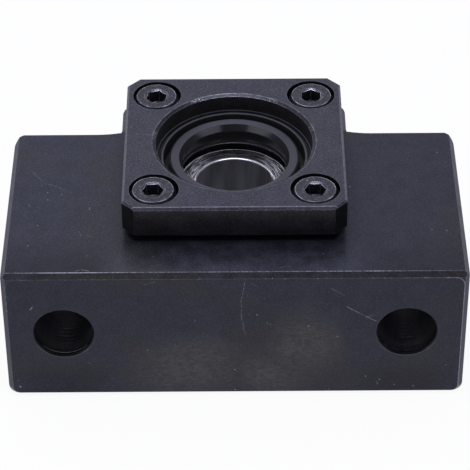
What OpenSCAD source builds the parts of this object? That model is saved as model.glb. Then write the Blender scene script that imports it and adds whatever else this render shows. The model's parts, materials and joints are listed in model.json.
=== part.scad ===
// Fixed-side end support for a ball screw. A T-shaped steel block holds a matched pair of
// angular contact ball bearings, face to face. A square lid, drawn down by four socket head
// screws, clamps their outer rings, and a lip seal closes the bore at each side.
//
// Origin: on the bearing axis, in the plane of the rear face.
// +Z runs along the bearing axis towards the lid, +X across the width, and the base faces -Y.

/* [Housing] */
// Width across both wings
body_w = 70; // [66:1:80]
// Height from the base to the top of the hump
body_h = 43; // [42.5:0.5:46]
// Thickness along the bearing axis, without the lid
body_t = 24; // [23.5:0.5:24.5]
// Height of the wings' shoulders above the base
shoulder_h = 35.7; // [28:0.1:38]
// Width of the hump
hump_w = 36; // [35:0.5:40]
// Height of the bearing axis above the base
axis_h = 25; // [24.5:0.5:25.5]
// Chamfer on the outer edges
edge_c = 0.7; // [0.4:0.1:1]
// Chamfer on the shoulders' edges
shoulder_c = 0.35; // [0.2:0.05:0.6]
// Radius of the long rear edges of both sides
side_r = 1.8; // [1.3:0.1:3]
// Radius of the wings' outer shoulder corners
wing_r = 2.7; // [1:0.1:4]
// Radius of the hump's top corners
hump_r = 1.2; // [1:0.1:3]
// Width of the cutter's run-out at the foot of the hump
foot_w = 4; // [2:0.5:5]
// Cutter radius of that run-out
foot_r = 16; // [10:1:20]

/* [Mounting holes] */
// Distance between the two holes through the wings
mount_pitch = 52; // [50:0.5:54]
// Diameter of the holes
mount_d = 9; // [6.6:0.1:9]
// Height of their axes above the rear face
mount_z = 12.7; // [10:0.1:14]
// Broken edge at their mouths
mount_c = 0.2; // [0.1:0.05:0.5]

/* [Retaining lid] */
// Side of the square lid
lid_w = 34; // [33.6:0.1:35]
// Thickness of its flange
lid_t = 6; // [5.8:0.1:7]
// Clamping gap between the flange and the housing
lid_gap = 0.3; // [0.1:0.05:0.5]
// Chamfer across its corners
lid_corner_c = 1.9; // [1:0.1:2.5]
// Bevel round its top edge
lid_top_c = 0.3; // [0.1:0.05:0.6]
// Bevel round its bottom edge
lid_bottom_c = 1; // [0.5:0.1:1.5]
// Bore for the front seal
seal_seat_d = 24.4; // [24:0.1:24.6]
// Width of the broken edge round a seal's seat
seat_mouth_w = 0.5; // [0.2:0.1:0.6]
// Depth of that edge
seat_mouth_h = 0.3; // [0.1:0.05:0.5]

/* [Lid screws] */
// Distance between neighbouring screws
screw_pitch = 24.4; // [24.2:0.1:24.6]
// Thread diameter
screw_d = 4; // [3.5:0.5:4]
// Length under the head
screw_l = 12; // [8:1:14]
// Diameter of the head
head_d = 7; // [6.6:0.1:7.2]
// Height of the head
head_h = 4; // [3.5:0.1:4.2]
// Width of the bevel round the head's rim
head_rim_w = 0.4; // [0.1:0.05:0.5]
// Height of that bevel
head_rim_h = 0.6; // [0.2:0.05:0.8]
// Width across the flats of the hexagon socket
socket_af = 3; // [2.5:0.1:3.2]
// Depth of the socket
socket_depth = 2.2; // [1.5:0.1:2.6]
// Diameter of the counterbores
counterbore_d = 7.6; // [7.4:0.1:7.8]
// Depth of the head's top below the lid's face
head_sink = 0.1; // [0:0.05:0.5]

/* [Seals] */
// Bore of the lip's edge, which runs on the shaft's collar
lip_d = 16.2; // [16:0.1:16.6]
// Wide end of the lip's bore
lip_mouth_d = 17.2; // [17:0.1:17.6]
// Outer diameter of the lip's flat end ring
lip_ring_d = 19.9; // [19.4:0.1:20]
// Inner diameter of the rim, across the open channel
channel_d = 22.1; // [21.8:0.1:22.4]
// Height of a seal
seal_h = 4; // [3.6:0.1:4.1]
// Depth of the open channel between lip and rim
channel_h = 2.5; // [1.5:0.1:2.8]
// Depth of the rear seal below the rear face
rear_seal_sink = 0.7; // [0.4:0.1:1]

/* [Bearings] */
// Bore of the inner rings
bearing_d = 12; // [12:0.5:12.5]
// Outside diameter of the outer rings
bearing_od = 28; // [28:0.5:28.5]
// Width of one bearing
bearing_w = 8; // [7.8:0.1:8]
// Pitch circle of the balls
ball_pitch_d = 20; // [19.9:0.05:20.1]
// Diameter of a ball
ball_d = 4.76; // [4.5:0.01:4.78]
// Balls in one bearing
ball_count = 11; // [8:1:11]
// Contact angle of the pair
contact_angle = 30; // [15:5:30]
// Land diameter of the inner rings
inner_land_d = 17.4; // [17.2:0.1:18]
// Rounding at the bore of the inner rings
bore_edge_r = 0.3; // [0.1:0.05:0.6]
// Land diameter of the outer rings' high shoulders
outer_land_d = 22.3; // [22.2:0.1:22.6]
// Groove radius of the outer raceways, as a share of the ball's diameter
outer_groove = 0.52; // [0.515:0.005:0.53]
// Groove radius of the inner raceways, as a share of the ball's diameter
inner_groove = 0.515; // [0.51:0.005:0.53]

/* [Hidden] */
$fn = 96;
eps = 1; // overshoot of the cutting shapes

base_y = -axis_h;
shoulder_y = shoulder_h - axis_h;
hump_y = body_h - axis_h;
foot_rise = foot_r - sqrt(foot_r * foot_r - foot_w * foot_w);

// Stations along the bearing axis
lid_under_z = body_t + lid_gap;
lid_top_z = lid_under_z + lid_t;
bearing_top_z = 22.3;
bearing_bottom_z = bearing_top_z - 2 * bearing_w;
seal_stop_t = 1.2; // inward lip under the front seal
front_seal_z = bearing_top_z + seal_stop_t;
rear_seal_z = rear_seal_sink + seal_h;
seal_stop_r = 11.4; // way past the seal stops and the seat's shoulder

// Fits, all radial
seat_play = 0.01; // outer rings in the housing
spigot_play = 0.03; // lid's spigot in the housing
seal_play = 0.02; // rims in their seats
ball_play = 0.04; // balls on the raceways at the contact angle
thread_play = 0.02; // screws in their tapped holes
ring_gap = 0.05; // each inner ring stops short of the middle of the pair
screw_clearance = 0.2; // screws in the lid

seat_r = bearing_od / 2 + seat_play;
seat_mouth_c = 0.4; // chamfer at the mouth of the bearing seat

// Screws
screw_seat_z = lid_top_z - head_sink - head_h;
tapped_depth = 12;
drill_cone_h = 1.2;
screw_end_c = 0.5;
// Side, side, turn of the hexagon, and how far each screw stands off the middle of its counterbore
screw_corners = [
    [-1, 1, 17, -0.11, 0.05], [1, 1, 30, 0.08, 0.03], [-1, -1, 5, -0.12, 0.09], [1, -1, 2, 0.03, -0.03]
];
socket_mouth_w = 0.4; // bevel at the mouth of the hexagon socket
socket_mouth_h = 0.2;
socket_tip_h = 0.4; // drill point under the hexagon

// Bearings
od_edge_r = 0.5; // rounding at the outside diameter
land_edge_r = 0.2; // rounding at the lands
ball_z = bearing_w / 2;
pitch_r = ball_pitch_d / 2;
ball_r = ball_d / 2;
outer_groove_r = outer_groove * ball_d;
inner_groove_r = inner_groove * ball_d;
outer_shift = outer_groove_r - ball_r - ball_play;
inner_shift = inner_groove_r - ball_r - ball_play;
relief_r = 12.15; // low shoulder of the outer ring, where the balls snap in
relief_end_r = 12.45;
relief_z = 5.3;
cage_inner_r = 9.4;
cage_outer_r = 11;
cage_end = 0.9; // from each end of the bearing
pocket_play = 0.07;

// Seals
seal_r = seal_seat_d / 2 - seal_play;
rim_bevel = 0.1;
rim_groove_r = [11.5, 11.95]; // groove in the top of the rim
rim_groove_h = 0.6;
lip_sink = 0.25; // the lip's ring stands a little lower than the rim
lip_bevel = 0.1;
lip_flash_r = 10.12; // thin moulding ridge round the lip's ring
lip_flash_z = [0.35, 0.15]; // foot and crest of the ridge, below the ring's top
lip_notch = [0.05, 0.3]; // width and depth of the notch between ridge and ring
lip_root_r = 10.3; // outer wall of the lip at the bottom of the channel
lip_cone_h = 0.95; // cone from the ring down to the lip's edge
lip_edge_h = 0.2;
lip_recess_r = 8.55; // bore behind the lip's edge
lip_recess_h = 0.45;
dust_edge_r = 8.4; // second edge at the inner end
dust_edge_z = [0.3, 0.65, 0.95];

// Colours
black_oxide = [0.22, 0.23, 0.27];
lid_oxide = [0.25, 0.26, 0.30];
screw_oxide = [0.16, 0.16, 0.18];
seal_rubber = [0.13, 0.13, 0.15];
ring_steel = [0.55, 0.55, 0.58];
ball_steel = [0.75, 0.75, 0.78];
cage_resin = [0.07, 0.07, 0.08];

ball_names = [for (side = ["front", "rear"]) for (i = [1:ball_count]) str(side, "_ball_", i)];

// ---- Housing ----

// What a rounding of radius r takes off a corner whose material lies towards +X and +Y
module corner_waste(r) {
    difference() {
        translate([-eps, -eps]) square(r + eps);
        translate([r, r]) circle(r);
    }
}

// Outline along the bearing axis: wings with round shoulders, and the hump
module t_outline() {
    wing_x = body_w / 2;
    difference() {
        polygon([
            [-wing_x + edge_c, base_y], [wing_x - edge_c, base_y], [wing_x, base_y + edge_c],
            [wing_x, shoulder_y], [-wing_x, shoulder_y], [-wing_x, base_y + edge_c]
        ]);
        for (side = [0, 1]) mirror([side, 0]) translate([-wing_x, shoulder_y]) mirror([0, 1]) corner_waste(wing_r);
    }
    difference() {
        translate([-hump_w / 2, 0]) square([hump_w, hump_y]);
        for (side = [0, 1]) mirror([side, 0]) translate([-hump_w / 2, hump_y]) mirror([0, 1]) corner_waste(hump_r);
    }
    for (side = [0, 1]) mirror([side, 0]) hump_foot();
}

// Shallow rise where the shoulder cut runs out against the hump
module hump_foot() {
    difference() {
        translate([hump_w / 2 - eps, shoulder_y - eps]) square([foot_w + eps, foot_rise + eps]);
        translate([hump_w / 2 + foot_w, shoulder_y + foot_r]) circle(foot_r);
    }
}

// Outline seen from the base: rounded rear edges, chamfered front edges
module base_outline() {
    x = body_w / 2;
    difference() {
        polygon([[-x, 0], [x, 0], [x, body_t - edge_c], [x - edge_c, body_t], [-x + edge_c, body_t], [-x, body_t - edge_c]]);
        for (side = [0, 1]) mirror([side, 0]) translate([-x, 0]) corner_waste(side_r);
    }
}

// Outline seen from the side: all four long edges chamfered
module side_outline() {
    polygon([
        [base_y, edge_c], [base_y + edge_c, 0], [hump_y - edge_c, 0], [hump_y, edge_c],
        [hump_y, body_t - edge_c], [hump_y - edge_c, body_t],
        [base_y + edge_c, body_t], [base_y, body_t - edge_c]
    ]);
}

// Square bar that planes a chamfer onto an edge along X
module edge_bar(length, c) {
    rotate([45, 0, 0]) cube([length, c * sqrt(2), c * sqrt(2)], center = true);
}

// Chamfer that follows the rise at the foot of the hump, on the face at z = 0
module foot_chamfer() {
    intersection() {
        translate([hump_w / 2 + foot_w, shoulder_y + foot_r, -shoulder_c])
            cylinder(r1 = foot_r + 2 * shoulder_c, r2 = foot_r, h = 2 * shoulder_c);
        translate([hump_w / 2, shoulder_y - eps, -shoulder_c]) cube([foot_w, foot_rise + 2 * eps, 2 * shoulder_c]);
    }
}

// Chamfers of the shoulders and of the hump's sides, on both faces of the block
module shoulder_edges() {
    wing_l = (body_w - hump_w) / 2 - foot_w + eps;
    hump_l = hump_y - shoulder_y;
    for (side = [0, 1], z = [0, body_t]) mirror([side, 0, 0]) {
        translate([hump_w / 2 + foot_w + wing_l / 2, shoulder_y, z]) edge_bar(wing_l, shoulder_c);
        translate([hump_w / 2, hump_y - hump_l / 2 + foot_rise, z]) rotate([0, 0, 90]) edge_bar(hump_l, edge_c);
    }
    for (side = [0, 1]) mirror([side, 0, 0]) {
        foot_chamfer();
        translate([0, 0, body_t]) mirror([0, 0, 1]) foot_chamfer();
    }
}

// Cuts that carry the base's chamfer round the rounded rear corners
module rear_corner_cuts() {
    arc_x = body_w / 2 - side_r;
    over = 0.1;
    for (side = [0, 1]) mirror([side, 0, 0]) difference() {
        translate([arc_x, base_y - over, -eps]) cube([side_r + eps, edge_c + over, side_r + eps]);
        translate([arc_x, base_y - over, side_r]) rotate([-90, 0, 0])
            cylinder(r1 = side_r - edge_c - over, r2 = side_r, h = edge_c + over);
    }
}

module block() {
    difference() {
        intersection() {
            linear_extrude(body_t) t_outline();
            translate([0, hump_y + eps, 0]) rotate([90, 0, 0]) linear_extrude(body_h + 2 * eps) base_outline();
            translate([-body_w / 2 - eps, 0, 0]) rotate([90, 0, 90]) linear_extrude(body_w + 2 * eps) side_outline();
        }
        shoulder_edges();
        rear_corner_cuts();
    }
}

// Hole through a wing, from the base to the shoulder, with both mouths broken
module mount_hole() {
    translate([0, shoulder_y + eps, 0]) rotate([90, 0, 0]) cylinder(d = mount_d, h = shoulder_h + 2 * eps);
    for (mouth = [[base_y, 90], [shoulder_y, -90]])
        translate([0, mouth[0], 0]) rotate([mouth[1], 0, 0])
            translate([0, 0, -mount_c]) cylinder(r1 = mount_d / 2, r2 = mount_d / 2 + 2 * mount_c, h = 2 * mount_c);
}

// Broken edge at a seal seat's mouth, on the axis, opening upwards at z = 0
module seat_mouth() {
    r = seal_seat_d / 2;
    translate([0, 0, -seat_mouth_h])
        cylinder(r1 = r, r2 = r + 2 * seat_mouth_w, h = 2 * seat_mouth_h);
}

module tapped_hole() {
    hole_r = screw_d / 2;
    translate([0, 0, body_t - tapped_depth]) cylinder(r = hole_r, h = tapped_depth + eps);
    translate([0, 0, body_t - tapped_depth - drill_cone_h]) cylinder(r1 = 0, r2 = hole_r, h = drill_cone_h);
}

// Counterbores of the lid
module at_corners() {
    for (x = [-1, 1], y = [-1, 1]) translate([x * screw_pitch / 2, y * screw_pitch / 2, 0]) children();
}

// Screws and their tapped holes
module at_screws() {
    for (corner = screw_corners)
        translate([corner[0] * screw_pitch / 2 + corner[3], corner[1] * screw_pitch / 2 + corner[4], 0])
            rotate([0, 0, corner[2]]) children();
}

module housing() {
    color(black_oxide)
    difference() {
        block();
        for (side = [-1, 1]) translate([side * mount_pitch / 2, 0, mount_z]) mount_hole();
        translate([0, 0, bearing_bottom_z]) cylinder(r = seat_r, h = body_t);
        translate([0, 0, body_t - seat_mouth_c])
            cylinder(r1 = seat_r, r2 = seat_r + 2 * seat_mouth_c, h = 2 * seat_mouth_c);
        translate([0, 0, eps]) cylinder(r = seal_stop_r, h = bearing_bottom_z);
        translate([0, 0, -eps]) cylinder(d = seal_seat_d, h = rear_seal_z + eps);
        mirror([0, 0, 1]) seat_mouth();
        at_screws() tapped_hole();
    }
}

// ---- Retaining lid and its screws ----

// Square plate with cut corners, bevelled top and bottom: seen from eight sides it has this outline
module bevelled_plate(w, corner, h, top, bottom) {
    corner_half = (w - corner) / sqrt(2);
    intersection_for (turn = [[0, w / 2], [90, w / 2], [45, corner_half], [135, corner_half]]) {
        x = turn[1];
        rotate([0, 0, turn[0]]) translate([0, w, 0]) rotate([90, 0, 0]) linear_extrude(2 * w)
            polygon([
                [-x + bottom, 0], [x - bottom, 0], [x, bottom], [x, h - top],
                [x - top, h], [-x + top, h], [-x, h - top], [-x, bottom]
            ]);
    }
}

module retaining_lid() {
    spigot_r = seat_r - spigot_play;
    color(lid_oxide)
    difference() {
        union() {
            translate([0, 0, lid_under_z])
                bevelled_plate(lid_w, lid_corner_c, lid_t, lid_top_c, lid_bottom_c);
            translate([0, 0, bearing_top_z]) cylinder(r = spigot_r, h = lid_under_z - bearing_top_z + eps);
        }
        translate([0, 0, front_seal_z]) cylinder(d = seal_seat_d, h = lid_t + lid_under_z);
        translate([0, 0, bearing_top_z - eps]) cylinder(r = seal_stop_r, h = 2 * eps + seal_stop_t);
        translate([0, 0, lid_top_z]) seat_mouth();
        at_corners() {
            translate([0, 0, screw_seat_z]) cylinder(d = counterbore_d, h = lid_t);
            cylinder(r = screw_d / 2 + screw_clearance, h = lid_top_z);
        }
    }
}

module socket() {
    corner_r = socket_af / sqrt(3);
    flat_r = socket_af / 2;
    translate([0, 0, head_h - socket_depth]) cylinder(r = corner_r, h = socket_depth + eps, $fn = 6);
    translate([0, 0, head_h - socket_depth - socket_tip_h]) cylinder(r1 = 0, r2 = flat_r, h = socket_tip_h);
    translate([0, 0, head_h - socket_mouth_h])
        cylinder(r1 = flat_r, r2 = flat_r + 2 * socket_mouth_w, h = 2 * socket_mouth_h);
}

// Socket head screw with its head's underside at z = 0
module socket_screw() {
    r = head_d / 2;
    thread_r = screw_d / 2 - thread_play;
    difference() {
        rotate_extrude() polygon([
            [0, 0], [r, 0], [r, head_h - head_rim_h], [r - head_rim_w, head_h], [0, head_h]
        ]);
        socket();
    }
    translate([0, 0, -screw_l + screw_end_c]) cylinder(r = thread_r, h = screw_l);
    translate([0, 0, -screw_l]) cylinder(r1 = thread_r - screw_end_c, r2 = thread_r, h = screw_end_c);
}

module lid_screws() {
    color(screw_oxide) at_screws() translate([0, 0, screw_seat_z]) socket_screw();
}

// ---- Seals ----

// Half section of a seal: rim, open channel and lip. Its inner end is at z = 0
module seal_section() {
    lip_r = lip_d / 2;
    ring_r = lip_ring_d / 2;
    channel_r = channel_d / 2;
    lip_h = seal_h - lip_sink;
    edge_z = lip_h - lip_cone_h;
    floor_z = seal_h - channel_h;
    polygon([
        [lip_recess_r, 0], [seal_r - rim_bevel, 0], [seal_r, rim_bevel],
        [seal_r, seal_h - rim_bevel], [seal_r - rim_bevel, seal_h],
        [rim_groove_r[1], seal_h], [rim_groove_r[1], seal_h - rim_groove_h],
        [rim_groove_r[0], seal_h - rim_groove_h], [rim_groove_r[0], seal_h - rim_bevel],
        [rim_groove_r[0] - rim_bevel, seal_h], [channel_r + rim_bevel, seal_h], [channel_r, seal_h - rim_bevel],
        [channel_r, floor_z], [lip_root_r, floor_z], [lip_flash_r, lip_h - lip_flash_z[0]],
        [lip_flash_r, lip_h - lip_flash_z[1]], [ring_r + lip_notch[0], lip_h - lip_notch[1]],
        [ring_r, lip_h - lip_bevel], [ring_r - lip_bevel, lip_h],
        [lip_mouth_d / 2, lip_h], [lip_r, edge_z], [lip_r, edge_z - lip_edge_h],
        [lip_recess_r, edge_z - lip_edge_h - lip_recess_h], [lip_recess_r, dust_edge_z[2]],
        [dust_edge_r, dust_edge_z[1]], [dust_edge_r, dust_edge_z[0]]
    ]);
}

module seal() {
    color(seal_rubber) rotate_extrude() seal_section();
}

module front_seal() {
    translate([0, 0, front_seal_z]) seal();
}

module rear_seal() {
    translate([0, 0, rear_seal_z]) mirror([0, 0, 1]) seal();
}

// ---- Bearings ----
// One bearing stands on z = 0 with the outer ring's high shoulder down. The pair meets at
// the middle, face to face, with the low shoulders together.

module at_rear() {
    translate([0, 0, bearing_bottom_z]) children();
}

module at_front() {
    translate([0, 0, bearing_top_z]) mirror([0, 0, 1]) children();
}

// Section of a plain ring with rounded corners
module ring_section(r0, r1, w, round0, round1) {
    difference() {
        translate([r0, 0]) square([r1 - r0, w]);
        for (end = [0, 1]) translate([0, end * w]) mirror([0, end]) {
            translate([r0, 0]) corner_waste(round0);
            translate([r1, 0]) mirror([1, 0]) corner_waste(round1);
        }
    }
}

module outer_ring() {
    groove_at = [pitch_r - outer_shift * cos(contact_angle), ball_z + outer_shift * sin(contact_angle)];
    color(ring_steel) rotate_extrude() difference() {
        ring_section(outer_land_d / 2, bearing_od / 2, bearing_w, land_edge_r, od_edge_r);
        translate(groove_at) circle(outer_groove_r);
        polygon([
            [outer_land_d / 2 - eps, ball_z], [relief_r, ball_z], [relief_r, relief_z],
            [relief_end_r, bearing_w], [relief_end_r, bearing_w + eps], [outer_land_d / 2 - eps, bearing_w + eps]
        ]);
    }
}

module inner_ring() {
    groove_at = [pitch_r + inner_shift * cos(contact_angle), ball_z - inner_shift * sin(contact_angle)];
    color(ring_steel) rotate_extrude() difference() {
        ring_section(bearing_d / 2, inner_land_d / 2, bearing_w - ring_gap, bore_edge_r, land_edge_r);
        translate(groove_at) circle(inner_groove_r);
    }
}

module cage() {
    color(cage_resin) difference() {
        rotate_extrude() translate([cage_inner_r, cage_end])
            square([cage_outer_r - cage_inner_r, bearing_w - 2 * cage_end]);
        for (i = [1:ball_count]) rotate([0, 0, i * 360 / ball_count])
            translate([pitch_r - ball_r, 0, ball_z]) rotate([0, 90, 0])
                cylinder(r = ball_r + pocket_play, h = ball_d);
    }
}

module ball(i) {
    color(ball_steel) rotate([0, 0, i * 360 / ball_count]) translate([pitch_r, 0, ball_z]) sphere(d = ball_d);
}

// ---- Nodes ----

housing();
retaining_lid();
lid_screws();
front_seal();
rear_seal();
at_front() outer_ring();  // front_outer_ring
at_rear() outer_ring();  // rear_outer_ring
at_front() inner_ring();  // front_inner_ring
at_rear() inner_ring();  // rear_inner_ring
at_front() cage();  // front_cage
at_rear() cage();  // rear_cage
for (i = [1:ball_count]) {
    at_front() ball(i);
    at_rear() ball(i);
}
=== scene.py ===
"""Looks of the ball screw end support: finishes, wear, floor, light and camera.

The solids stay as the part's source makes them. Each material slot gets a procedural finish.
Places and lengths in the finishes are in millimetres of the part's own frame: +Z runs along
the bearing axis towards the lid, +X across the width, and the base faces -Y.
"""

import json
import math

import bpy
from mathutils import Matrix, Vector


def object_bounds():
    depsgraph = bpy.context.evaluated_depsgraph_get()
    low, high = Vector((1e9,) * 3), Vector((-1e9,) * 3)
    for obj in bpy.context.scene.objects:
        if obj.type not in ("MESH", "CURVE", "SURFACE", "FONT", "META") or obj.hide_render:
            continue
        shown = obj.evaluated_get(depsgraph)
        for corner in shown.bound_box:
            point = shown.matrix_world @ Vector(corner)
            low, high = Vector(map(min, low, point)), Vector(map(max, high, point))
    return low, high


MM = 0.001
WHITE = (1.0, 1.0, 1.0)

# The part, in millimetres
BASE_Y = -25.0
EDGE_BEVEL = 0.7
HOLE_X = 26.0  # mounting holes, which run up from the base face
HOLE_Z = 12.7
HOLE_R = 4.5
HOLE_BEVEL = 0.2
MOUTH_R = HOLE_R + HOLE_BEVEL
MOUTH_Y = BASE_Y + HOLE_BEVEL
LID_TOP_Z = 30.3
LID_HALF = 17.0
LID_CORNER = 1.9
LID_RIM_R = 12.7  # mouth of the lid's bore
RING_BORE_R = 6.0

# Levels of light, where 1 is white
ROOM = 0.60  # all round the object
BACKDROP = 1.0  # behind it
FRONT_SHADE = 0.45  # factor before and above it
LEFT_SIDE = 1.10  # factor on the left
RIGHT_SIDE = 0.78  # factor on the right
PANELS = 0.9  # added by the two low panels in front
GAP_SHADE = 0.28  # taken away in the gap between them
BEHIND = (0.0, 0.78, 0.63)
BEFORE = (0.0, -0.70, 0.72)
LEFT = (-1.0, 0.0, 0.0)
LIGHT = (0.95, 0.96, 1.14)  # cool white of the lamp, the room and the floor's reflection
TOP_WATTS = 8.0
TOP_SIZE = (0.8, 0.5)
TOP_PLACE = (0.0, -0.12, 1.0)

# Floor
FLOOR_SIZE = 6.0
FLOOR_GREY = (0.70, 0.70, 0.70, 1.0)
FLOOR_GLOW = 0.93  # share of its own light where it is seen; the rest keeps the shadow

# Camera, fitted to the photo
CAMERA_PLACE = (0.00004, -0.2954, 0.2490)
CAMERA_DOWN = math.radians(38.79)
CAMERA_ROLL = math.radians(0.35)
SENSOR_WIDTH = 36.0
FOCAL_LENGTH = 181.5


# ---- Node trees -------------------------------------------------------------------------


class Nodes:
    """Adds and links the nodes of one tree. A value may be a number, a tuple or a socket."""

    def __init__(self, tree):
        self.tree = tree

    def add(self, kind, inputs=None, **settings):
        node = self.tree.nodes.new(kind)
        for key, value in settings.items():
            setattr(node, key, value)
        for key, value in (inputs or {}).items():
            self.put(value, node.inputs[key])
        return node

    def put(self, value, socket):
        if isinstance(value, bpy.types.NodeSocket):
            self.tree.links.new(value, socket)
        else:
            socket.default_value = value

    def math(self, operation, *values):
        node = self.add("ShaderNodeMath", operation=operation)
        for value, socket in zip(values, node.inputs):
            self.put(value, socket)
        return node.outputs[0]

    def vector(self, operation, first, second=None):
        node = self.add("ShaderNodeVectorMath", operation=operation)
        self.put(first, node.inputs[0])
        if second is not None:
            self.put(second, node.inputs["Scale" if operation == "SCALE" else 1])
        scalar = operation in ("LENGTH", "DOT_PRODUCT")
        return node.outputs["Value" if scalar else "Vector"]

    def joined(self, x=0.0, y=0.0, z=0.0):
        return self.add("ShaderNodeCombineXYZ", {"X": x, "Y": y, "Z": z}).outputs[0]

    def ramp(self, value, low, high, bottom=0.0, top=1.0):
        """Rises smoothly from bottom to top as value goes from low to high."""
        node = self.add("ShaderNodeMapRange", interpolation_type="SMOOTHSTEP")
        for key, setting in (("Value", value), ("From Min", low), ("From Max", high),
                             ("To Min", bottom), ("To Max", top)):
            self.put(setting, node.inputs[key])
        return node.outputs["Result"]

    def band(self, value, middle, half, soft):
        """1 where value is within half of middle, falling to 0 over soft."""
        away = self.math("ABSOLUTE", self.math("SUBTRACT", value, middle))
        return self.ramp(away, half, half + soft, 1.0, 0.0)

    def all_of(self, *masks):
        result = masks[0]
        for mask in masks[1:]:
            result = self.math("MULTIPLY", result, mask)
        return result

    def any_of(self, *masks):
        result = masks[0]
        for mask in masks[1:]:
            result = self.math("MAXIMUM", result, mask)
        return result

    def total(self, *values):
        result = values[0]
        for value in values[1:]:
            result = self.math("ADD", result, value)
        return result

    def value(self, factor, low, high):
        """A number between low and high."""
        node = self.add("ShaderNodeMix", data_type="FLOAT")
        self.put(factor, node.inputs[0])
        self.put(low, node.inputs[2])
        self.put(high, node.inputs[3])
        return node.outputs[0]

    def colour(self, factor, low, high):
        """A colour between low and high. Either may be an (r, g, b) triple or a socket."""
        node = self.add("ShaderNodeMix", data_type="RGBA")
        self.put(factor, node.inputs[0])
        for value, socket in ((low, node.inputs[6]), (high, node.inputs[7])):
            self.put(value if isinstance(value, bpy.types.NodeSocket) else (*value, 1.0), socket)
        return node.outputs[2]


class Shader(Nodes):
    """A node material, which knows the place on the part and the way that it faces."""

    def __init__(self, name):
        self.material = bpy.data.materials.new(name)
        self.material.use_nodes = True
        super().__init__(self.material.node_tree)
        self.bsdf = self.tree.nodes["Principled BSDF"]
        coords = self.add("ShaderNodeTexCoord")
        self.place = self.vector("MULTIPLY", coords.outputs["Object"], (1 / MM, 1 / MM, 1 / MM))
        split = self.add("ShaderNodeSeparateXYZ", {"Vector": self.place})
        self.x, self.y, self.z = split.outputs
        facing = self.add("ShaderNodeSeparateXYZ", {"Vector": coords.outputs["Normal"]})
        self.ny, self.nz = facing.outputs["Y"], facing.outputs["Z"]

    def aside(self):
        """Distance from the part's middle plane."""
        return self.math("ABSOLUTE", self.x)

    def radius(self):
        """Distance from the bearing axis."""
        return self.vector("LENGTH", self.vector("MULTIPLY", self.place, (1, 1, 0)))

    def stretch(self, factors, shift=(0, 0, 0)):
        """The place, scaled along each axis and shifted to another part of the pattern."""
        scaled = self.vector("MULTIPLY", self.place, factors)
        return self.vector("ADD", scaled, shift)

    def noise(self, scale, detail=3.0, at=None, roughness=0.55):
        node = self.add("ShaderNodeTexNoise", {
            "Vector": at if at is not None else self.place,
            "Scale": scale, "Detail": detail, "Roughness": roughness})
        return node.outputs["Fac"]

    def specks(self, scale, size, share, at=None):
        """Scattered dots: size is the dot's radius in cells, share how many cells have one."""
        node = self.add("ShaderNodeTexVoronoi", {
            "Vector": at if at is not None else self.place, "Scale": scale})
        chosen = self.add("ShaderNodeSeparateColor", {"Color": node.outputs["Color"]})
        dot = self.ramp(node.outputs["Distance"], size * 0.4, size, 1.0, 0.0)
        return self.all_of(dot, self.ramp(chosen.outputs[0], 1 - share, 1.01 - share))

    def edges(self, radius, low, high):
        """1 along the part's outer and inner edges, out to about radius."""
        bevel = self.add("ShaderNodeBevel", {"Radius": radius * MM}, samples=8)
        true_normal = self.add("ShaderNodeNewGeometry").outputs["Normal"]
        turn = self.math("SUBTRACT", 1.0,
                         self.vector("DOT_PRODUCT", bevel.outputs["Normal"], true_normal))
        return self.ramp(turn, low, high)

    def bump(self, height, strength, depth):
        node = self.add("ShaderNodeBump", {
            "Height": height, "Strength": strength, "Distance": depth * MM})
        return node.outputs["Normal"]

    def finish(self, **sockets):
        """Fills the shader's sockets, named with _ for each space, and gives the material."""
        for name, value in sockets.items():
            self.put(value, self.bsdf.inputs[name.replace("_", " ")])
        return self.material


# ---- Parts of the surface ---------------------------------------------------------------


def on_base(s):
    """The base face."""
    return s.ramp(s.ny, -0.9, -0.99)


def on_front(s):
    """The faces that are turned to the front: the housing's and the lid's."""
    return s.ramp(s.nz, 0.9, 0.99)


def on_bevel(s):
    """The bevel between the front face and the base face."""
    return s.all_of(s.band(s.ny, -0.707, 0.1, 0.1), s.ramp(s.nz, 0.5, 0.6))


def on_lid_side(s):
    """The faces of the lid that aren't turned to the front: its sides and its bore."""
    return s.ramp(s.nz, 0.6, 0.4)


def low_on_base(s):
    """The lower middle of the base face, between the mounting holes."""
    return s.all_of(on_base(s), s.ramp(s.z, 16.0, 8.0), s.ramp(s.z, -1.0, 3.0, 0.4, 1.0),
                    s.band(s.x, -0.5, 13.5, 5.0))


def from_hole(s):
    """Distance from the nearer mounting hole's axis."""
    across = s.math("SUBTRACT", s.aside(), HOLE_X)
    height = s.math("SUBTRACT", s.z, HOLE_Z)
    return s.math("SQRT", s.total(s.math("MULTIPLY", across, across),
                                  s.math("MULTIPLY", height, height)))


def on_hole_wall(s):
    """The walls of the mounting holes, beyond the bevel at their mouths."""
    return s.all_of(s.ramp(from_hole(s), HOLE_R + 0.08, HOLE_R + 0.04),
                    s.ramp(s.y, MOUTH_Y - 0.02, MOUTH_Y))


# ---- Marks of use -----------------------------------------------------------------------


def stroke(s, along, across, start, end, width, strength):
    """A scratch on a face, from start to end in that face's two coordinates."""
    dx, dy = end[0] - start[0], end[1] - start[1]
    length = math.hypot(dx, dy)
    ux, uy = dx / length, dy / length
    px = s.math("SUBTRACT", along, start[0])
    py = s.math("SUBTRACT", across, start[1])
    run = s.total(s.math("MULTIPLY", px, ux), s.math("MULTIPLY", py, uy))
    off = s.math("ABSOLUTE", s.math("SUBTRACT", s.math("MULTIPLY", px, uy),
                                    s.math("MULTIPLY", py, ux)))
    line = s.ramp(off, width * 0.3, width, strength, 0.0)
    return s.all_of(line, s.ramp(run, -0.1, 0.15), s.ramp(run, length - 0.3, length + 0.1, 1.0, 0.0))


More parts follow.
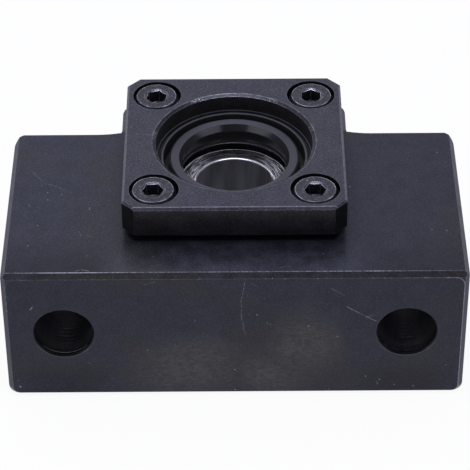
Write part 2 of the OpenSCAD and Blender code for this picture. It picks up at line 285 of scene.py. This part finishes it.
def strokes(s, along, across, marks):
    """Several scratches on one face. Each chain of points is drawn piece by piece."""
    wander = s.math("MULTIPLY", s.math("SUBTRACT", s.noise(0.9, 2.0), 0.5), 0.5)
    along = s.math("ADD", along, wander)
    across = s.math("SUBTRACT", across, wander)
    lines = []
    for points, width, strength in marks:
        for start, end in zip(points, points[1:]):
            lines.append(stroke(s, along, across, start, end, width, strength))
    skips = s.ramp(s.noise(2.4, 2.0, at=s.stretch((1, 1, 1), (5, 8, 2))), 0.36, 0.56, 0.15, 1.0)
    return s.all_of(s.any_of(*lines), skips)


# Scratches of the base face, as (X, Z) chains, with width and strength
BASE_MARKS = [
    ([(1.5, 22.9), (1.3, 21.0), (0.9, 19.2), (0.9, 17.0), (1.1, 14.8), (1.5, 12.2)], 0.10, 0.24),
    ([(14.4, 21.3), (16.4, 20.0)], 0.10, 0.22),
    ([(16.8, 17.7), (19.2, 16.1), (21.5, 14.7)], 0.09, 0.38),
    ([(19.7, 15.6), (21.0, 16.0)], 0.08, 0.30),
    ([(-30.8, 17.4), (-30.4, 18.1)], 0.14, 0.70),
    ([(-33.4, 2.2), (-33.1, 1.7)], 0.12, 0.70),
    ([(21.7, 2.6), (21.8, 2.0)], 0.12, 0.55),
    ([(27.3, 1.8), (27.4, 1.4)], 0.12, 0.50),
    ([(-13.6, 22.2), (-11.8, 22.9)], 0.08, 0.30),
    ([(4.6, 14.7), (5.6, 14.2)], 0.10, 0.25),
    ([(2.5, 22.4), (3.4, 21.6)], 0.09, 0.25),
]

# Scratches of the front face, as (X, Y) chains, with width and strength
FRONT_MARKS = [
    ([(-31.6, 0.6), (-30.2, -1.4), (-29.2, -2.5), (-27.9, -3.0), (-25.2, -4.8)], 0.09, 0.22),
    ([(-23.7, -14.4), (-23.2, -15.6)], 0.12, 0.30),
    ([(-22.4, -15.5), (-21.2, -15.9)], 0.08, 0.22),
    ([(-23.9, -23.9), (-23.0, -23.5), (-21.6, -23.9)], 0.11, 0.35),
    ([(6.5, -23.4), (8.3, -22.9)], 0.10, 0.30),
    ([(-31.9, -7.4), (-31.4, -8.3)], 0.10, 0.25),
]

# Scratches of the lid's face, as (X, Y) chains, with width and strength
LID_MARKS = [
    ([(-15.6, 2.2), (-14.5, 1.9), (-12.6, 1.7)], 0.09, 0.40),
    ([(-12.9, 2.6), (-12.6, 1.6), (-12.3, 0.4)], 0.12, 0.35),
    ([(-13.0, 3.4), (-12.6, 3.2)], 0.14, 0.50),
]

# Places on the lid's bore rim with nicks, as (X, Y) and reach
RIM_NICKS = [(-5.6, 10.9, 1.5), (6.5, 11.0, 1.1), (12.4, 3.4, 1.1), (-12.5, 1.8, 1.6)]

# Dusty smudges on the base face: centre (X, Z) and reach along X and Z
SMUDGES = [((-7.5, 5.5), (10.5, 8.0)), ((11.0, 10.5), (7.0, 8.0)), ((5.5, 4.5), (8.0, 6.0))]


def stains(s):
    """Pale dusty smudges across the lower middle of the base face."""
    wander = s.math("MULTIPLY", s.math("SUBTRACT", s.noise(0.22, 3.0), 0.5), 6.0)
    along = s.total(s.x, wander)
    up = s.total(s.z, wander)
    clouds = []
    for (x, z), (wide, tall) in SMUDGES:
        away = s.joined(s.math("DIVIDE", s.math("SUBTRACT", along, x), wide),
                        s.math("DIVIDE", s.math("SUBTRACT", up, z), tall))
        clouds.append(s.ramp(s.vector("LENGTH", away), 0.1, 1.15, 1.0, 0.0))
    fine = s.noise(1.7, 5.0, at=s.stretch((0.6, 1, 1.2), (6, 3, 1)), roughness=0.72)
    return s.all_of(s.any_of(*clouds), s.ramp(fine, 0.34, 0.66, 0.30, 1.0), on_base(s), 0.75)


def base_ridge(s):
    """The worn line along the front face's lower edge, by the bevel, strongest on the left."""
    edge = BASE_Y + EDGE_BEVEL
    at_ridge = s.ramp(s.nz, 0.6, 0.7)
    skips = s.noise(0.5, 3.0, at=s.stretch((0.5, 0, 0), (6, 2, 0)))
    nibs = s.noise(2.6, 3.0, at=s.stretch((1, 0, 0), (2, 2, 0)))
    whole = s.all_of(s.band(s.y, edge + 0.11, 0.04, 0.07), at_ridge,
                     s.ramp(skips, 0.36, 0.58, 0.45, 1.0), s.ramp(nibs, 0.38, 0.58, 0.30, 1.0),
                     s.ramp(s.x, 20.0, 30.0, 1.0, 0.30), s.ramp(s.x, -33.0, -28.0, 0.55, 1.0))
    left = s.all_of(s.band(s.y, edge + 0.10, 0.05, 0.07), at_ridge,
                    s.ramp(nibs, 0.30, 0.50, 0.4, 1.0), s.band(s.x, -24.5, 3.0, 5.0))
    return s.any_of(whole, left)


def base_outline(s):
    """A thin dotted line just inside the base face's outline, clearer on the right."""
    corner = 1.4
    side = 34.28
    bottom = 0.44
    top = 23.28
    across = s.math("SUBTRACT", s.aside(), side - corner)
    height = s.math("ABSOLUTE", s.math("SUBTRACT", s.z, (bottom + top) / 2))
    along = s.math("SUBTRACT", height, (top - bottom) / 2 - corner)
    out = s.joined(s.math("MAXIMUM", across, 0.0), s.math("MAXIMUM", along, 0.0))
    within = s.math("MINIMUM", s.math("MAXIMUM", across, along), 0.0)
    line = s.band(s.total(s.vector("LENGTH", out), within), corner, 0.02, 0.07)
    dots = s.ramp(s.noise(2.2, 2.0, at=s.stretch((1, 0.4, 1), (1, 7, 0))), 0.55, 0.68,
                  s.ramp(s.x, 31.0, 34.0, 0.25, 0.60), 1.0)
    return s.all_of(line, s.ramp(s.ny, -0.6, -0.7), dots, s.ramp(s.x, 20.0, 33.0, 0.34, 0.85))


def hole_rim_highlights(s):
    """Painted highlight: a faint light line on the base face, round the lower part of each mounting
    hole.
    """
    return s.all_of(s.band(from_hole(s), MOUTH_R + 0.02, 0.03, 0.05), on_base(s),
                    s.ramp(s.z, HOLE_Z - 1.2, HOLE_Z - 3.2), 0.14)


def feed_marks(s):
    """Rings a drill leaves on the wall of each mounting hole, clearest about 5 mm in."""
    drift = s.math("MULTIPLY", s.noise(0.7, 2.0), 3.0)
    wave = s.math("SINE", s.total(s.math("MULTIPLY", s.y, 7.4), drift))
    middle = s.band(s.aside(), HOLE_X, 0.9, 0.7)
    clear = s.band(s.y, BASE_Y + 5.1, 1.3, 1.4)
    broken = s.ramp(s.noise(1.3, 3.0, at=s.stretch((1, 1, 1), (3, 1, 9))), 0.42, 0.60, 0.1, 1.0)
    # The 0.10 keeps faint rings over the whole wall, as painted light inside the holes.
    strength = s.total(s.all_of(middle, clear, broken, 1.5), 0.10)
    return s.all_of(on_hole_wall(s), s.ramp(wave, 0.55, 0.95), strength, 0.80)


def housing_marks(s):
    """Scratches, worn edges and drill marks of the housing, and painted highlights by its holes."""
    base = s.all_of(strokes(s, s.x, s.z, BASE_MARKS), on_base(s))
    front = s.all_of(strokes(s, s.x, s.y, FRONT_MARKS), on_front(s))
    return s.any_of(base, front, base_ridge(s), base_outline(s), hole_rim_highlights(s), feed_marks(s))


def rim_nicks(s, radius):
    """Chips in the rim of the lid's bore, at a few places."""
    places = []
    for x, y, reach in RIM_NICKS:
        offset = s.vector("MULTIPLY", s.vector("SUBTRACT", s.place, (x, y, 0)), (1, 1, 0))
        places.append(s.ramp(s.vector("LENGTH", offset), reach * 0.5, reach, 1.0, 0.0))
    chips = s.ramp(s.noise(3.4, 3.0, at=s.stretch((1, 1, 0), (3, 5, 0))), 0.50, 0.62)
    return s.all_of(s.any_of(*places), s.band(radius, LID_RIM_R - 0.1, 0.18, 0.25), chips, 0.55)


def lid_marks(s):
    """Scratches of the lid's face, wear on its bore's rim and outer edges, painted highlights at its
    sides.
    """
    scratches = s.all_of(strokes(s, s.x, s.y, LID_MARKS), on_front(s))
    radius = s.radius()
    skips = s.ramp(s.noise(1.0, 3.0, at=s.stretch((1, 1, 0), (2, 9, 0))), 0.35, 0.62, 0.15, 1.0)
    near_top = s.ramp(s.z, LID_TOP_Z - 0.4, LID_TOP_Z - 0.2)
    rim = s.all_of(s.band(radius, LID_RIM_R + 0.02, 0.03, 0.08), near_top, skips, 0.40)
    run = s.noise(1.3, 3.0, at=s.stretch((1, 0, 0), (4, 0, 0)))
    crest = s.all_of(s.band(s.y, 0.44 - LID_HALF, 0.03, 0.06),
                     s.ramp(s.z, LID_TOP_Z - 0.3, LID_TOP_Z - 0.1),
                     s.ramp(run, 0.32, 0.62, 0.35, 1.0), 0.80)
    under = s.all_of(s.band(s.z, LID_TOP_Z - 0.38, 0.02, 0.06),
                     s.ramp(s.y, 0.10 - LID_HALF, 0.05 - LID_HALF),
                     s.ramp(run, 0.45, 0.62, 0.2, 1.0), 0.40)
    # Painted highlight: a light line along the top edges of the lid's left and right sides.
    beside = s.noise(1.6, 3.0, at=s.stretch((0, 1, 0), (0, 6, 0)))
    flank_highlight = s.all_of(s.band(s.aside(), LID_HALF - 0.22, 0.12, 0.12), near_top,
                     s.ramp(beside, 0.35, 0.65, 0.3, 1.0), 0.22)
    return s.any_of(scratches, rim_nicks(s, radius), rim, crest, under, flank_highlight)


def screw_marks(s):
    """Rubbing and specks left by the key."""
    patches = s.noise(3.4, 4.0, at=s.stretch((1, 1, 1), (7, 7, 7)), roughness=0.7)
    return s.all_of(s.ramp(patches, 0.54, 0.70), s.ramp(s.nz, 0.3, 0.6), 0.24)


# ---- Painted light and shade on the oxide -----------------------------------------------
# The shades give the coat's level as painted light and shade, where 1 leaves the tint as it is.
# The warmth is a mask.


def hole_painted_light(s):
    """Painted light and shade in the mounting holes, added to the level: less at the mouth, more
    further in.
    """
    wall = s.all_of(on_hole_wall(s), s.ramp(s.y, BASE_Y + 0.4, BASE_Y + 3.0, -0.60, 3.2))
    mouth = s.all_of(s.ramp(from_hole(s), MOUTH_R + 0.04, MOUTH_R),
                     s.ramp(s.y, BASE_Y + 0.01, BASE_Y + 0.05),
                     s.ramp(s.y, MOUTH_Y - 0.02, MOUTH_Y, -0.80, 0.0))
    return s.total(wall, mouth)


def housing_painted_light(s):
    """Painted light and shade: darker on the base face, most of all under its holes, and
    lighter deep in the holes.

    The front face is darker to the right and at its lower ends, lighter low in its middle.
    """
    ends = s.ramp(s.aside(), 14.0, 22.0)
    low_ends = s.ramp(s.y, -14.0, -24.0, 0.0, s.ramp(s.x, -30.0, 30.0, -0.34, -0.18))
    low = s.value(ends, s.ramp(s.y, -16.0, -23.5, 0.0, 0.75), low_ends)
    front = s.all_of(on_front(s), s.total(low, s.ramp(s.x, -30.0, 26.0, -0.07, -0.22)))
    under_holes = s.all_of(s.band(s.aside(), HOLE_X, 3.0, 6.0), s.ramp(s.z, 8.0, 3.0))
    base = s.all_of(on_base(s), s.value(under_holes, -0.22, -0.42))
    bevel = s.all_of(on_bevel(s), s.ramp(s.x, -10.0, 20.0, -0.02, -0.12))
    return s.total(1.0, front, base, bevel, hole_painted_light(s))


def housing_warmth(s):
    """Less blue on the bevel, the holes' walls and the base face, there most in its middle."""
    middle = s.value(low_on_base(s), s.value(s.band(s.x, 3.0, 8.0, 14.0), 0.25, 0.45), 0.45)
    return s.any_of(on_bevel(s), s.all_of(on_base(s), middle), on_hole_wall(s))


def lid_painted_light(s):
    """Painted light and shade: the lid's sides are darker than its face, and its cut corners darker
    still.

    The wall of its bore is lighter, and the bevel at the bore's mouth is the darkest.
    """
    spread = s.total(s.aside(), s.math("ABSOLUTE", s.y))
    corner = 2 * LID_HALF - LID_CORNER
    side = s.ramp(spread, corner - 0.2, corner - 0.1, s.ramp(s.z, 25.0, 29.0, 0.78, 0.68), 0.48)
    in_bore = s.ramp(s.radius(), LID_RIM_R + 0.4, LID_RIM_R + 0.3)
    level = s.value(on_lid_side(s), 1.0, s.value(in_bore, side, 1.15))
    mouth = s.all_of(in_bore, s.ramp(s.nz, 0.96, 0.9), s.ramp(s.nz, 0.1, 0.3))
    return s.value(mouth, level, 0.45)


def screw_painted_shade(s):
    """Painted shade: each head's rim is darker than its top."""
    return s.value(s.band(s.nz, 0.555, 0.12, 0.1), 0.93, 0.75)


# ---- Finishes ---------------------------------------------------------------------------


def brown_clouds(s):
    """Where the oxide is browner: large soft patches, most of them low on the base face."""
    clouds = s.noise(0.045, 3.0, at=s.stretch((1, 1, 1.4), (3.1, 0, 7.7)))
    return s.ramp(s.total(clouds, s.math("MULTIPLY", low_on_base(s), 0.16)), 0.47, 0.66)


def tinted(tint, factors):
    """The tint with each of its three parts multiplied by a factor."""
    return tuple(part * factor for part, factor in zip(tint, factors))


def black_oxide(name, tint, roughness, wear, spots, grit, marks, shade, warmth=None,
                brown=0.2, edge=0.14, bright=0.34):
    """Blackened steel: blue-grey and brown clouds, fine grain and specks, edges worn light.

    wear and edge set the strength and width of the worn edges, spots the strength of the
    scattered dots, grit that of the pale grain on the sides and on the front, brown that of
    the brown clouds, and bright the level of bare metal. marks and warmth are functions of
    the shader, and so is the argument between them, which gives the painted light and
    shade that scale the coat.
    """
    s = Shader(name)
    mottle = s.noise(0.35, 4.0, at=s.stretch((1, 1, 1), (11, 5, 2)))
    grain = s.noise(2.6, 4.0, roughness=0.7)
    coat = s.colour(s.ramp(mottle, 0.3, 0.75), tinted(tint, (0.84, 0.84, 0.84)),
                    tinted(tint, (1.18, 1.18, 1.18)))
    coat = s.colour(s.all_of(brown_clouds(s), brown), coat, tinted(tint, (1.18, 1.04, 0.80)))
    coat = s.colour(s.ramp(grain, 0.35, 0.75, 0.0, 0.30), coat, tinted(tint, (1.8, 1.8, 1.8)))
    coat = s.colour(stains(s), coat, (0.088, 0.085, 0.088))
    if warmth is not None:
        coat = s.colour(warmth(s), coat, s.vector("MULTIPLY", coat, (1.02, 0.96, 0.76)))
    # Painted light and shade: the coat is scaled by the level given for each place.
    level = shade(s)
    coat = s.vector("SCALE", coat, level)

    breaks = s.noise(1.1, 3.0, at=s.stretch((0.6, 1, 1), (1.7, 9, 4)))
    worn = s.all_of(s.edges(edge, 0.004, 0.05), s.ramp(breaks, 0.34, 0.66, 0.25, 1.0),
                    s.ramp(level, 0.2, 0.5), wear)
    dots = s.all_of(s.specks(0.9, 0.14, 0.10), spots)
    ticks = s.all_of(s.specks(0.5, 0.11, 0.06, at=s.stretch((1, 1.6, 0.5), (4, 4, 4))), spots)
    sparkle = s.noise(4.6, 2.0, at=s.stretch((1, 1, 1), (3, 3, 8)), roughness=0.6)
    sparkle = s.all_of(s.ramp(sparkle, 0.46, 0.74), level, s.ramp(s.nz, 0.2, 0.9, *grit))
    bare = s.any_of(worn, dots, ticks, sparkle, marks(s))
    height = s.total(s.math("MULTIPLY", grain, 0.6), s.noise(9.0, 2.0, at=s.stretch((0.25, 1, 1))))
    return s.finish(
        Base_Color=s.colour(bare, coat, (bright, bright, bright * 1.08)),
        Metallic=0.8,
        Roughness=s.value(s.ramp(mottle, 0.3, 0.7), roughness - 0.04, roughness + 0.06),
        Normal=s.bump(height, 0.3, 0.01),
    )


def seal_rubber():
    """Black rubber: painted highlights on its raised rings, painted shade in the grooves between
    them.
    """
    s = Shader("seal_rubber")
    bloom = s.noise(0.6, 4.0)
    radius = s.radius()
    # Painted shade darkens the grooves, and painted highlights lighten the tops of the raised rings.
    shaded_channels = s.any_of(s.band(radius, 10.66, 0.40, 0.04), s.band(radius, 11.72, 0.20, 0.03))
    crest_highlights = s.any_of(s.band(radius, 11.13, 0.08, 0.04), s.band(radius, 12.1, 0.10, 0.04))
    crest_highlights = s.all_of(crest_highlights, s.ramp(s.nz, 0.3, 0.6))
    ring = s.all_of(s.band(radius, 9.25, 0.66, 0.04), s.ramp(s.nz, 0.8, 0.95))
    # The ring's flat face is lighter, and painted light makes it lightest in the middle, less at the
    # sides.
    middle = s.ramp(s.aside(), 3.0, 8.0, 1.0, 0.55)
    lip = s.ramp(radius, 8.66, 8.60)
    rubber = s.colour(s.ramp(bloom, 0.35, 0.7), (0.016, 0.016, 0.017), (0.026, 0.026, 0.028))
    rubber = s.colour(s.all_of(ring, middle), rubber,
                      s.colour(bloom, (0.048, 0.046, 0.056), (0.064, 0.062, 0.076)))
    rubber = s.colour(crest_highlights, rubber, (0.060, 0.060, 0.070))
    rubber = s.colour(shaded_channels, rubber, (0.016, 0.016, 0.016))
    rubber = s.colour(lip, rubber, (0.018, 0.018, 0.019))
    return s.finish(
        Base_Color=rubber,
        Roughness=s.value(lip, s.value(s.ramp(bloom, 0.3, 0.7), 0.40, 0.54), 0.16),
        Specular_IOR_Level=s.value(shaded_channels, s.value(s.any_of(ring, crest_highlights), 0.45, 0.22), 0.2),
        Normal=s.bump(s.noise(6.0, 3.0), 0.2, 0.01),
    )


def ground_steel():
    """Bearing rings: turned and ground faces with pale flecks and painted highlights, and a dull
    bore.
    """
    s = Shader("ground_steel")
    radius = s.radius()
    turn = s.math("ARCTAN2", s.y, s.x)
    polar = s.joined(s.math("MULTIPLY", turn, 1.6), s.math("MULTIPLY", radius, 5.0),
                     s.math("MULTIPLY", s.z, 5.0))
    lines = s.noise(2.4, 4.0, at=polar, roughness=0.65)
    round_bore = s.joined(s.math("MULTIPLY", turn, 2.2), 0.0, s.math("MULTIPLY", s.z, 0.05))
    streaks = s.noise(1.5, 3.0, at=round_bore)
    in_bore = s.ramp(radius, RING_BORE_R + 0.06, RING_BORE_R + 0.02)
    flecks = s.all_of(s.ramp(lines, 0.48, 0.62), s.ramp(s.aside(), 3.6, 6.4))
    # Painted highlights: pale, dull lines at two radii on the faces, where their edges catch the
    # light.
    outer_rim_highlight = s.band(radius, 8.56, 0.07, 0.05)
    inner_rim_highlight = s.all_of(s.band(radius, 6.34, 0.03, 0.05), 0.35)
    rim_highlights = s.all_of(s.any_of(outer_rim_highlight, inner_rim_highlight), s.ramp(s.nz, 0.2, 0.5))
    face = s.colour(s.ramp(lines, 0.35, 0.7), (0.31, 0.31, 0.32), (0.68, 0.68, 0.70))
    face = s.colour(flecks, face, (0.82, 0.82, 0.84))
    face = s.colour(rim_highlights, face, (0.85, 0.85, 0.85))
    wall = s.colour(s.ramp(streaks, 0.25, 0.75), (0.14, 0.14, 0.145), (0.28, 0.28, 0.29))
    return s.finish(
        Base_Color=s.colour(in_bore, face, wall),
        Metallic=s.value(s.any_of(rim_highlights, s.all_of(flecks, 0.7)), 1.0, 0.1),
        Roughness=s.value(in_bore, s.value(s.ramp(lines, 0.3, 0.7), 0.18, 0.36), 0.75),
        Specular_IOR_Level=s.value(in_bore, 0.5, 0.15),
        Normal=s.bump(lines, s.value(in_bore, 0.4, 0.05), 0.02),
    )


def ball_steel():
    """Polished balls under a thin film of oil."""
    s = Shader("ball_steel")
    film = s.noise(0.8, 3.0)
    return s.finish(
        Base_Color=s.colour(film, (0.60, 0.60, 0.61), (0.74, 0.74, 0.75)),
        Metallic=1.0,
        Roughness=s.value(film, 0.06, 0.14),
    )


def cage_resin():
    """Moulded black resin with faint flow lines."""
    s = Shader("cage_resin")
    flow = s.noise(0.5, 4.0, at=s.stretch((1, 1, 0.4)))
    return s.finish(
        Base_Color=s.colour(flow, (0.018, 0.018, 0.020), (0.032, 0.032, 0.036)),
        Roughness=s.value(flow, 0.38, 0.52),
        Normal=s.bump(s.noise(5.0, 3.0), 0.15, 0.01),
    )


def finishes():
    """One finish for each material slot of the record."""
    return {
        "housing": black_oxide(
            "black_oxide_housing", tint=(0.028, 0.030, 0.041), roughness=0.35, wear=0.22,
            spots=0.45, grit=(0.08, 0.10), brown=0.8,
            marks=housing_marks, shade=housing_painted_light, warmth=housing_warmth),
        "lid": black_oxide(
            "black_oxide_lid", tint=(0.033, 0.034, 0.044), roughness=0.34, wear=0.50,
            spots=0.35, grit=(0.10, 0.20),
            marks=lid_marks, shade=lid_painted_light, warmth=on_lid_side),
        # For the screws the worn edges are made bright: partly wear, partly a painted highlight
        # along each head's top edge.
        "screws": black_oxide(
            "black_oxide_screws", tint=(0.028, 0.028, 0.036), roughness=0.34, wear=1.0,
            spots=0.6, grit=(0.12, 0.12), edge=0.22, bright=0.55,
            marks=screw_marks, shade=screw_painted_shade),
        "seal": seal_rubber(),
        "bearing_ring": ground_steel(),
        "cage": cage_resin(),
        "ball": ball_steel(),
    }


def dress(frame):
    """Puts each node's finish on its own material slots."""
    looks = finishes()
    slots = {row["node"]: row["material_slot"] for row in frame["record"]["subparts"]}
    for node, piece in frame["nodes"].items():
        for slot in piece.material_slots:
            slot.material = looks[slots[node]]


# ---- Studio -----------------------------------------------------------------------------


def floor(level):
    """White sweep: white to the camera, and cool white in the object's reflections."""
    s = Shader("studio_floor")
    path = s.add("ShaderNodeLightPath").outputs
    seen = s.any_of(path["Is Camera Ray"], path["Is Glossy Ray"], path["Is Transmission Ray"])
    lit = s.add("ShaderNodeBsdfDiffuse", {"Color": FLOOR_GREY})
    tinge = s.colour(path["Is Camera Ray"], LIGHT, WHITE)
    white = s.add("ShaderNodeEmission", {"Color": tinge, "Strength": 1.0})
    both = s.add("ShaderNodeMixShader", {
        0: s.math("MULTIPLY", seen, FLOOR_GLOW), 1: lit.outputs[0], 2: white.outputs[0]})
    s.put(both.outputs[0], s.tree.nodes["Material Output"].inputs["Surface"])
    bpy.ops.mesh.primitive_plane_add(size=FLOOR_SIZE, location=(0, 0, level))
    plane = bpy.context.object
    plane.name = "floor"
    plane.data.materials.append(s.material)


def top_softbox(aim):
    """A large soft lamp above the object."""
    light = bpy.data.lights.new("top_softbox", "AREA")
    light.shape = "RECTANGLE"
    light.size, light.size_y = TOP_SIZE
    light.energy = TOP_WATTS
    light.color = LIGHT
    holder = bpy.data.objects.new("top_softbox", light)
    bpy.context.scene.collection.objects.link(holder)
    holder.location = TOP_PLACE
    holder.rotation_euler = (aim - Vector(TOP_PLACE)).to_track_quat("-Z", "Y").to_euler()


def panels(n, across, along, up):
    """Light of two low side panels in front of the object, with a gap between them."""
    beside = n.total(n.math("ABSOLUTE", across), n.math("MULTIPLY", along, 0.50))
    lit = n.math("MULTIPLY", n.ramp(beside, 0.0, 0.03), PANELS + GAP_SHADE)
    in_front = n.ramp(along, -0.1, -0.3)
    low_down = n.all_of(n.ramp(up, 0.0, 0.05), n.ramp(up, 0.45, 0.35))
    return n.all_of(in_front, low_down, n.math("SUBTRACT", lit, GAP_SHADE))


def glow(n, aim, direction, low, high, bottom, top):
    """Goes from bottom to top as the way that a ray takes turns towards direction."""
    towards = n.vector("DOT_PRODUCT", aim, Vector(direction).normalized())
    return n.ramp(towards, low, high, bottom, top)


def sky():
    """The room: white to the camera, else bright behind the object and dimmer before it."""
    world = bpy.data.worlds.new("studio")
    bpy.context.scene.world = world
    world.use_nodes = True
    n = Nodes(world.node_tree)
    aim = n.add("ShaderNodeTexCoord").outputs["Generated"]
    across, along, up = n.add("ShaderNodeSeparateXYZ", {"Vector": aim}).outputs
    behind = glow(n, aim, BEHIND, 0.55, 0.95, ROOM, BACKDROP)
    before = glow(n, aim, BEFORE, 0.45, 0.90, 1.0, FRONT_SHADE)
    sides = glow(n, aim, LEFT, -0.3, 0.3, RIGHT_SIDE, LEFT_SIDE)
    lit = n.total(n.all_of(behind, before, sides), panels(n, across, along, up))
    path = n.add("ShaderNodeLightPath").outputs
    seen = n.any_of(path["Is Camera Ray"], path["Is Transmission Ray"])
    back = n.tree.nodes["Background"].inputs
    n.put(n.value(seen, lit, 1.0), back["Strength"])
    n.put(n.colour(seen, LIGHT, WHITE), back["Color"])


def studio(low, high):
    """Floor, lamp and room round the object, whose box goes from low to high."""
    floor(low.z)
    top_softbox((low + high) / 2)
    sky()


def camera():
    """In front of the base, looking down at the lid."""
    data = bpy.data.cameras.new("camera")
    data.sensor_width = SENSOR_WIDTH
    data.lens = FOCAL_LENGTH
    data.clip_start = 0.01
    holder = bpy.data.objects.new("camera", data)
    bpy.context.scene.collection.objects.link(holder)
    tilt = Matrix.Rotation(math.pi / 2 - CAMERA_DOWN, 4, "X")
    turn = tilt @ Matrix.Rotation(-CAMERA_ROLL, 4, "Z")
    holder.matrix_world = Matrix.Translation(CAMERA_PLACE) @ turn
    bpy.context.scene.camera = holder


# ---- Scene ------------------------------------------------------------------------------


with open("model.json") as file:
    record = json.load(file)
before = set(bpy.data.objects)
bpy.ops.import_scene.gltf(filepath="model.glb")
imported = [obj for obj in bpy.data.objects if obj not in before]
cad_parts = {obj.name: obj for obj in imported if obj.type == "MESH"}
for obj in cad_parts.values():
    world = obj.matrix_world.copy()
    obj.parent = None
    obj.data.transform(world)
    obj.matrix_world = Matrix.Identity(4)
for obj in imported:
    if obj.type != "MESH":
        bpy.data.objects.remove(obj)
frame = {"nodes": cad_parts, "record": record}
cad_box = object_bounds()
low, high = (Vector(corner) for corner in cad_box)

bpy.context.scene.view_settings.view_transform = "Standard"
dress(frame)
studio(low, high)
camera()
